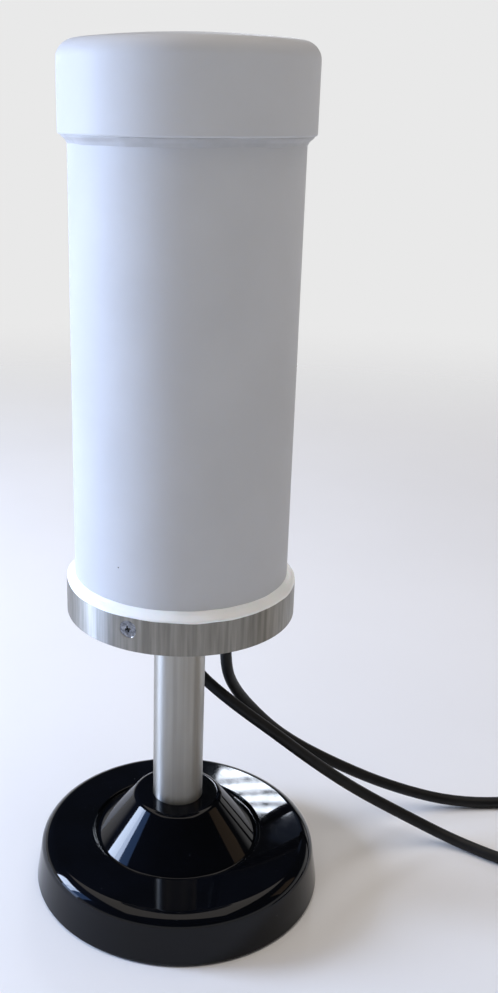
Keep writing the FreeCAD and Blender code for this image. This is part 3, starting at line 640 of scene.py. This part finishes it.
class OBJECT_OT_antenna_cables(AntennaOperator):
    """The two free feed cables, each with its put-away coil"""
    bl_idname = "object.antenna_cables"
    bl_label = "Feed Cables"

    def execute(self, context):
        sizes = context.scene.antenna_sizes
        jacket = cable_jacket()
        for number, route, coil in ((1, ROUTE_1, COIL_1), (2, ROUTE_2, COIL_2)):
            gland = middle(f"gland_body_{number}")
            self.cable(context, number, route, coil, gland, jacket, sizes.cable_diameter / 2)
        return {"FINISHED"}

    def cable(self, context, number, route, coil, gland, jacket, radius):
        points = [Vector(point) * MM for point in route]
        for point in points[:2]:
            point.x, point.y = gland.x, gland.y
        points += self.coil(coil)
        curve = bpy.data.curves.new(f"feed_cable_{number}", "CURVE")
        curve.dimensions = "3D"
        curve.bevel_depth = radius
        curve.bevel_resolution = 6
        curve.resolution_u = 6
        curve.use_fill_caps = True
        curve.materials.append(jacket)
        spline = curve.splines.new("NURBS")
        spline.points.add(len(points) - 1)
        for point, place in zip(spline.points, points):
            point.co = (*place, 1.0)
        spline.order_u = 3
        spline.use_endpoint_u = True
        made = bpy.data.objects.new(f"feed_cable_{number}", curve)
        context.scene.collection.objects.link(made)
        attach(made, "antenna")
        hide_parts(f"cable_{number}", f"cable_{number}_coil", f"cable_{number}_tail")

    def coil(self, coil):
        """Two flat turns inwards on the floor, a climb, about one turn outwards on top, then the tail."""
        centre, join_angle, turns, leave = coil
        centre = Vector((*centre, 0))
        step = 360 / POINTS_PER_TURN
        count = round(turns * POINTS_PER_TURN)
        swell = 1 / math.cos(math.radians(step / 2))
        on_top = FLAT_TURNS + CLIMB_TURNS
        points = []
        for k in range(count):
            done = (k + 0.5) / POINTS_PER_TURN
            angle = math.radians(join_angle - (k + 0.5) * turns * 360 / count)
            lift = min(max((done - FLAT_TURNS) / CLIMB_TURNS, 0), 1)
            level = CABLE_LEVEL + (TAIL_LEVEL - CABLE_LEVEL) * lift
            out = max(done - on_top, 0) / (turns - on_top)
            inward = COIL_RADIUS - COIL_PITCH * min(done, FLAT_TURNS)
            radius = inward + (TAIL_RADIUS - COIL_RADIUS + FLAT_TURNS * COIL_PITCH) * out
            points.append(centre + Vector((math.cos(angle), math.sin(angle), 0)) * radius * swell
                          + Vector((0, 0, level)))
        leave = math.radians(leave)
        start = centre + Vector((math.cos(leave), math.sin(leave), 0)) * TAIL_RADIUS
        start += Vector((0, 0, TAIL_LEVEL))
        heading = Vector((math.sin(leave), -math.cos(leave), 0))
        rise = Vector((0, 0, TAIL_RISE))
        points.append(start)
        points.append(start + heading * TAIL_RUN * RISE_AT + rise)
        points.append(start + heading * (TAIL_RUN + TAIL_IN_PLUG) + rise)
        return [point * MM for point in points]


class OBJECT_OT_antenna_radome(AntennaOperator):
    """Painted tube and its cap"""
    bl_idname = "object.antenna_radome"
    bl_label = "Radome and Cap"

    def execute(self, context):
        low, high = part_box("radome_tube")
        radius, bottom, top = high[0] / MM, low[2] / MM, high[2] / MM
        bore = radius - 3
        tube = turned(((radius, bottom), (radius, top), (bore, top), (bore, bottom)))
        finished("radome_shell", tube, radome_paint(), "antenna", ["radome_tube"])
        finished("radome_lid", self.lid(), cap_paint(), "antenna", ["radome_cap"])
        return {"FINISHED"}

    def lid(self):
        """Cup with a shallow domed top: the dome is an arc swung about a centre on the axis."""
        low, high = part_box("radome_cap")
        radius, lip, top = high[0] / MM, low[2] / MM, high[2] / MM
        rise, bore, ceiling = 3.5, 50.1, 397.3
        crown_round, lip_round = 6.6, 1.0
        dome = (radius ** 2 + rise ** 2) / (2 * rise)
        bm = bmesh.new()
        crown = bm.verts.new((0, 0, top * MM))
        # the dome's rings stand wider apart than the crown's rounding is deep, or it would fold over them
        swung = bmesh.ops.spin(bm, geom=[crown], axis=(0, 1, 0), cent=(0, 0, (top - dome) * MM),
                               angle=math.asin(radius / dome), steps=7)
        rim = next(item for item in swung["geom_last"] if isinstance(item, bmesh.types.BMVert))
        edge = rim.co.z / MM
        corners = ((radius, lip), (bore, lip), (bore, ceiling), (0, ceiling))
        verts = [rim] + [bm.verts.new((r * MM, 0, z * MM)) for r, z in corners]
        for first, second in zip(verts, verts[1:]):
            bm.edges.new((first, second))
        turn(bm, 192)
        round_ring(bm, (radius, edge), crown_round, 12)
        round_ring(bm, (radius, lip), lip_round, 5)
        round_ring(bm, (bore, lip), 0.3, 2)
        return bm


class OBJECT_OT_antenna_sealant(AntennaOperator):
    """Hand-laid sealant under the cap and on the flange"""
    bl_idname = "object.antenna_sealant"
    bl_label = "Sealant Beads"

    def execute(self, context):
        wobble = context.scene.antenna_sizes.bead_wobble
        silicone = sealant()
        low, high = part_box("flange_seal_bead")
        foot, top, outer = low[2] / MM, high[2] / MM, high[0] / MM
        lower = turned((
            (49.6, foot - 0.4), (outer - 0.1, foot - 0.4), (outer + 0.1, foot + 0.5), (52.6, foot + 1.5),
            (51.1, foot + 2.6), (50.2, top - 0.3), (49.6, top - 0.2)), steps=160)
        self.unsettle(lower, wobble, 0.6, 3.0)
        self.smooth(lower)
        finished("sealant_on_flange", lower, silicone, "antenna", ["flange_seal_bead"], 80)
        low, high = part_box("cap_seal_bead")
        foot, top, outer = low[2] / MM, high[2] / MM, high[0] / MM
        upper = turned((
            (49.6, top + 0.3), (outer - 0.3, top + 0.3), (outer - 0.3, top - 0.5), (51.6, top - 1.5),
            (50.7, top - 2.4), (50.1, foot + 0.5), (49.6, foot + 0.4)), steps=160)
        self.unsettle(upper, wobble, 4.0, 5.0)
        self.smooth(upper)
        finished("sealant_under_cap", upper, enamelled_sealant_painted_shade(), "antenna",
                 ["cap_seal_bead"], 80)
        return {"FINISHED"}

    def unsettle(self, bm, wobble, seed, waves):
        """Moves the free side of the bead in and out, and up and down, as a hand does along its length."""
        against_tube = 49.9 * MM
        for vert in bm.verts:
            radius = math.hypot(vert.co.x, vert.co.y)
            if radius < against_tube:
                continue
            angle = math.atan2(vert.co.y, vert.co.x)
            spot = Vector((math.cos(angle) * waves, math.sin(angle) * waves, seed))
            push = noise.noise(spot) * wobble
            lift = noise.noise(spot * 1.7 + Vector((7, 3, 1))) * wobble * 0.8
            vert.co.x += math.cos(angle) * push
            vert.co.y += math.sin(angle) * push
            vert.co.z += lift

    def smooth(self, bm):
        bmesh.ops.subdivide_edges(bm, edges=[e for e in bm.edges if e.calc_length() > 0], cuts=1, smooth=0.6,
                                  use_grid_fill=True)


class OBJECT_OT_antenna_flange(AntennaOperator):
    """Machined end flange with its three countersunk rim screws"""
    bl_idname = "object.antenna_flange"
    bl_label = "End Flange and Screws"

    screw_angles = (245.0, 5.0, 125.0)
    head_radius = 4.0
    recess = 0.25

    def execute(self, context):
        low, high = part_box("flange")
        radius, bottom = high[0] / MM, low[2] / MM
        rim, floor = bottom + 16.0, bottom + 6.0
        edge = context.scene.antenna_sizes.edge_round / MM
        body = turned((
            (12.55, bottom), (radius, bottom), (radius, rim), (50.1, rim), (50.1, floor), (46.9, floor),
            (46.9, floor + 15), (43.0, floor + 15), (43.0, floor), (18.0, floor), (18.0, floor + 21),
            (12.55, floor + 21),
        ), (((radius, bottom), edge, 3), ((radius, rim), 0.2, 2)), steps=240)
        low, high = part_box("flange_screws")
        level = (low[2] + high[2]) / 2
        for angle in self.screw_angles:
            body = carve(body, self.at(angle, radius, level, self.sink()))
        for number in (1, 2):
            gland = middle(f"gland_body_{number}")
            hole = turned(((0, bottom - 1), (6.05, bottom - 1), (6.05, floor + 1), (0, floor + 1)), steps=48,
                          closed=False)
            body = carve(body, move(hole, Matrix.Translation((gland.x, gland.y, 0))))
        finished("end_flange", body, turned_aluminium(), "antenna", ["flange"])
        screws = bmesh.new()
        for angle in self.screw_angles:
            join(screws, self.at(angle, radius - self.recess, level, self.screw()))
        finished("rim_screws", screws, worn_zinc(), "antenna", ["flange_screws"], 30)
        return {"FINISHED"}

    def at(self, angle, radius, level, bm):
        """Lays a part made about the vertical axis along a radius, its top outwards."""
        outward = Vector((math.cos(math.radians(angle)), math.sin(math.radians(angle)), 0))
        return move(bm, along(outward, outward * radius * MM + Vector((0, 0, level))))

    def sink(self):
        wide = self.head_radius + 0.15
        return turned(((0, 1.5), (wide, 1.5), (wide, -0.1), (2.15, -2.2), (2.15, -9.0), (0, -9.0)), steps=48,
                      closed=False)

    def screw(self):
        head = turned(((0, 0.0), (self.head_radius, 0.0), (self.head_radius, -0.25), (2.0, -2.1), (2.0, -8.0),
                       (0, -8.0)), (((self.head_radius, 0.0), 0.12, 2),), steps=48, closed=False)
        for quarter in (0, 90):
            slot = bmesh.new()
            bmesh.ops.create_cube(slot, size=1.0)
            bmesh.ops.scale(slot, vec=(4.6 * MM, 1.0 * MM, 2.6 * MM), verts=slot.verts)
            for vert in slot.verts:
                if vert.co.z < 0:
                    vert.co.x *= 0.35
            move(slot, Matrix.Rotation(math.radians(quarter + 20), 4, "Z"))
            head = carve(head, slot)
        return head


class OBJECT_OT_antenna_mast(AntennaOperator):
    """Drawn aluminium mast"""
    bl_idname = "object.antenna_mast"
    bl_label = "Mast"

    def execute(self, context):
        low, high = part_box("mast_tube")
        radius, bottom, top = high[0] / MM, low[2] / MM, high[2] / MM
        tube = turned(((radius, bottom), (radius, top), (radius - 2, top), (radius - 2, bottom)),
                      (((radius, top), 0.3, 2),), steps=96)
        finished("mast", tube, drawn_aluminium(), "antenna", ["mast_tube"])
        return {"FINISHED"}


class OBJECT_OT_antenna_foot(AntennaOperator):
    """Gloss shell of the foot and the rubber pad under it"""
    bl_idname = "object.antenna_foot"
    bl_label = "Foot Shell and Pad"

    def execute(self, context):
        shell = turned(FOOT_OUTLINE, FOOT_ROUNDS, steps=240)
        finished("foot_shell", shell, gloss_black(), "antenna", ["base_cover"])
        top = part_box("base_pad")[1][2] / MM
        outline = [(0, 0.5)]
        for rib in PAD_RIBS:
            outline += [(rib - 1.5, 0.5), (rib - 1.0, 0.0), (rib + 1.0, 0.0), (rib + 1.5, 0.5)]
        border = PAD_RADIUS - 6
        outline += [(border, 0.5), (border + 0.5, 0.0), (PAD_RADIUS, 0.0), (PAD_RADIUS, top), (0, top)]
        pad = turned(outline, (((PAD_RADIUS, 0.0), 0.4, 3), ((PAD_RADIUS, top), 0.3, 2)), steps=120,
                     closed=False)
        finished("foot_pad", pad, soft_rubber(), "antenna", ["base_pad"])
        return {"FINISHED"}


class OBJECT_OT_antenna_glands(AntennaOperator):
    """Hexagonal cable glands with their ribbed boots"""
    bl_idname = "object.antenna_glands"
    bl_label = "Cable Glands"

    def execute(self, context):
        nylon = moulded_nylon()
        rubber = soft_rubber()
        for number in (1, 2):
            gland = middle(f"gland_body_{number}")
            place = Matrix.Translation((gland.x, gland.y, 0))
            finished(f"gland_collar_{number}", move(self.collar(), place), nylon, "antenna",
                     [f"gland_body_{number}"], 30)
            finished(f"gland_cap_{number}", move(self.cap(), place), nylon, "antenna",
                     [f"gland_nut_{number}"], 30)
            finished(f"boot_{number}", move(self.boot(), place), rubber, "antenna",
                     [f"cable_boot_{number}"], 40)
        return {"FINISHED"}

    def hexagon(self, bottom, top, chamfer):
        """Hexagonal bar whose corners are turned off at the ends."""
        bar = turned(((0, bottom), (HEX_CORNER, bottom), (HEX_CORNER, top), (0, top)), steps=6, closed=False)
        wide = HEX_CORNER + 0.4
        form = turned(((0, bottom), (wide - chamfer, bottom), (wide, bottom + chamfer * 0.6),
                       (wide, top - chamfer * 0.6), (wide - chamfer, top), (0, top)), steps=72, closed=False)
        return carve(bar, form, "INTERSECT")

    def bored(self, bm, radius, bottom, top):
        drill = turned(((0, bottom), (radius, bottom), (radius, top), (0, top)), steps=48, closed=False)
        return carve(bm, drill)

    def collar(self):
        body = self.hexagon(148.5, 151.5, 1.0)
        body = self.bored(body, 5.6, 148.0, 152.0)
        thread = turned(((3.1, 141.5), (6.0, 141.5), (6.0, 160.0), (3.1, 160.0)), steps=48)
        return join(body, thread)

    def cap(self):
        body = self.hexagon(138.0, 148.3, 1.1)
        body = self.bored(body, 6.05, 137.5, 149.0)
        dome = turned(((4.6, 134.0), (5.6, 134.0), (6.7, 135.6), (7.3, 138.2), (6.0, 138.6), (4.6, 138.6)),
                      (((5.6, 134.0), 0.3, 3),), steps=72)
        return join(body, dome)

    def boot(self):
        """Taper with five shallow grooves that let it bend."""
        outline = [(3.05, BOOT_END), (3.6, BOOT_END)]
        for groove in range(5):
            foot = BOOT_END + 1.0 + 2.5 * groove
            outer = 3.95 + 0.27 * groove
            outline += [(outer, foot), (outer + 0.1, foot + 1.5), (outer - 0.45, foot + 1.8),
                        (outer - 0.42, foot + 2.3)]
        outline += [(5.2, 133.6), (4.5, 133.9), (4.5, 138.3), (5.8, 138.4), (5.8, 140.4), (3.05, 140.4)]
        return turned(outline, steps=64)


class OBJECT_OT_antenna_connectors(AntennaOperator):
    """Screw-coupled plugs with captive fluted nuts"""
    bl_idname = "object.antenna_connectors"
    bl_label = "Connectors"

    def execute(self, context):
        nickel = nickel_plate()
        rubber = soft_rubber()
        gold = gold_plate()
        brass = bare_brass()
        ptfe = white_ptfe()
        for number, joint in enumerate(frame["joints"], 1):
            heading = Vector(joint["axis"])
            place = along(heading, Vector(joint["pos_m"]) - heading * NUT_MIDDLE * MM)
            body = turned((
                (0, 22), (6.8, 22), (6.8, 28.8), (6.0, 28.8), (6.0, 34), (7.1, 34), (7.1, 36), (4.1, 36),
                (4.1, 46), (3.4, 46), (3.4, 33), (0, 33)),
                (((6.8, 22), 0.5, 3), ((6.8, 28.8), 0.3, 2), ((4.1, 46), 0.2, 2)), steps=72, closed=False)
            made = [
                finished(f"plug_body_{number}", move(body, place), nickel, "antenna",
                         [f"connector_body_{number}"]),
                finished(f"fluted_nut_{number}", move(self.nut(), place), nickel,
                         f"coupling_nut_{number}", [f"coupling_nut_{number}"], 25),
                finished(f"sleeve_{number}", move(self.sleeve(), place), rubber, "antenna",
                         [f"heat_shrink_{number}"], 50),
                finished(f"ferrule_{number}", move(turned(
                    ((3.05, 8), (4.2, 8), (4.2, 22), (3.05, 22)), (((4.2, 8), 0.3, 2),), steps=48), place),
                    brass, "antenna", [f"crimp_ferrule_{number}"]),
                finished(f"pin_{number}", move(turned(
                    ((0, 33), (1.5, 33), (1.5, 42), (0.6, 44.5), (0, 44.5)), (((0.6, 44.5), 0.25, 2),),
                    steps=32, closed=False), place), gold, "antenna",
                    [f"contact_pin_{number}"]),
                finished(f"bead_{number}", move(turned(
                    ((1.55, 33.05), (3.35, 33.05), (3.35, 38), (1.55, 38)), (((3.35, 38), 0.2, 2),),
                    steps=48), place), ptfe, "antenna", [f"insulator_{number}"]),
                finished(f"gasket_{number}", move(turned(
                    ((4.2, 36.05), (7.0, 36.05), (7.0, 38), (4.2, 38)),
                    (((7.0, 38), 0.4, 3), ((4.2, 38), 0.3, 2)), steps=48), place),
                    rubber, "antenna", [f"connector_gasket_{number}"]),
            ]
        return {"FINISHED"}

    def nut(self):
        """Nut whose bore is ringed to look like a thread, with flutes pressed into its grip."""
        bottom, top = FLUTE_SPAN
        outline = [(6.05, 29), (9.1, 29), (NUT_RADIUS, 30.2), (NUT_RADIUS, bottom), (NUT_RADIUS, top),
                   (NUT_RADIUS, 48), (9.3, 49), (8.0, 49)]
        crest, root, pitch = 7.5, 7.9, 1.2
        level = 48.2
        while level > 33.5:
            outline += [(crest, level), (root, level - 0.6)]
            level -= pitch
        outline += [(crest, 32.5), (6.05, 32.5)]
        bm = turned(outline, steps=FLUTES * 6)
        near_outside = 10.2 * MM
        band = [face for face in bm.faces
                if (bottom - 0.1) * MM < face.calc_center_median().z < (top + 0.1) * MM
                and all(math.hypot(v.co.x, v.co.y) > near_outside for v in face.verts)]
        bmesh.ops.inset_region(bm, faces=band, thickness=0.35 * MM, use_even_offset=True)
        for vert in bm.verts:
            radius = math.hypot(vert.co.x, vert.co.y)
            if radius > near_outside and (bottom + 0.2) * MM < vert.co.z < (top - 0.2) * MM:
                angle = math.atan2(vert.co.y, vert.co.x)
                press = max(0.0, math.cos(angle * FLUTES)) ** 2 * FLUTE_DEPTH * MM
                vert.co.x -= math.cos(angle) * press
                vert.co.y -= math.sin(angle) * press
        return bm

    def sleeve(self):
        """Heat-shrink that has drawn in over the step of the ferrule."""
        return turned((
            (3.05, 0), (3.9, 0), (4.3, 0.6), (4.5, 3), (4.55, 6.5), (4.95, 8.5), (5.0, 14), (4.98, 19.4),
            (4.7, 20), (4.25, 20), (4.25, 7.9), (3.05, 7.9)), steps=64)


class OBJECT_OT_antenna_inside(AntennaOperator):
    """Finishes for the pieces inside, which keep their CAD meshes"""
    bl_idname = "object.antenna_inside"
    bl_label = "Inner Parts"

    def execute(self, context):
        finishes = (
            (rolled_aluminium, ("ground_plate",)),
            (bright_zinc, ("standoff_screws", "column_screws", "mast_grub_screws", "mast_bolt",
                           "mast_bolt_washer", "base_screws")),
            (bare_brass, ("lower_standoffs", "cone_radiator")),
            (gold_plate, ("feed_pin",)),
            (white_nylon, ("support_columns",)),
            (white_ptfe, ("feed_bushing",)),
            (circuit_board, ("loop_board",)),
            (tinned_copper, ("loop_traces",)),
            (packing_foam, ("foam_disc",)),
            (rolled_steel, ("pole_plate",)),
            (fired_ferrite, ("ring_magnet",)),
            (turned_aluminium, ("mast_foot_plug",)),
            (soft_rubber, ("gland_seal_1", "gland_seal_2")),
            (cable_jacket, ("feed_lead_1", "feed_lead_2")),
        )
        for make, names in finishes:
            material = make()
            for name in names:
                self.coat(frame["nodes"][name], material)
        bare = [name for name, item in frame["nodes"].items()
                if not item.hide_render and not item.get("coated")]
        if bare:
            raise RuntimeError(f"no finish on {sorted(bare)}")
        return {"FINISHED"}

    def coat(self, item, material):
        for slot in item.material_slots:
            slot.material = material
        item["coated"] = True


class VIEW3D_PT_antenna(bpy.types.Panel):
    """Shows the antenna's sizes and colours, and a button for each operator"""
    bl_label = "Omnidirectional Antenna"
    bl_idname = "VIEW3D_PT_antenna"
    bl_space_type = "VIEW_3D"
    bl_region_type = "UI"
    bl_category = "Antenna"

    def draw(self, context):
        layout = self.layout
        for group in (context.scene.antenna_sizes, context.scene.antenna_colours):
            column = layout.column(align=True)
            for key in group.__annotations__:
                column.prop(group, key)
        column = layout.column(align=True)
        for operator in OPERATORS:
            column.operator(operator.bl_idname)


OPERATORS = (
    OBJECT_OT_antenna_stage, OBJECT_OT_antenna_cables, OBJECT_OT_antenna_radome, OBJECT_OT_antenna_sealant,
    OBJECT_OT_antenna_flange, OBJECT_OT_antenna_mast, OBJECT_OT_antenna_foot, OBJECT_OT_antenna_glands,
    OBJECT_OT_antenna_connectors, OBJECT_OT_antenna_inside,
)
CLASSES = (AntennaSizes, AntennaColours, *OPERATORS, VIEW3D_PT_antenna)


def register():
    for item in CLASSES:
        bpy.utils.register_class(item)
    bpy.types.Scene.antenna_sizes = PointerProperty(type=AntennaSizes)
    bpy.types.Scene.antenna_colours = PointerProperty(type=AntennaColours)


def unregister():
    del bpy.types.Scene.antenna_colours
    del bpy.types.Scene.antenna_sizes
    for item in reversed(CLASSES):
        bpy.utils.unregister_class(item)


def main():
    register()
    for operator in OPERATORS:
        group, name = operator.bl_idname.split(".")
        getattr(getattr(bpy.ops, group), name)()


if __name__ == "__main__":
    main()
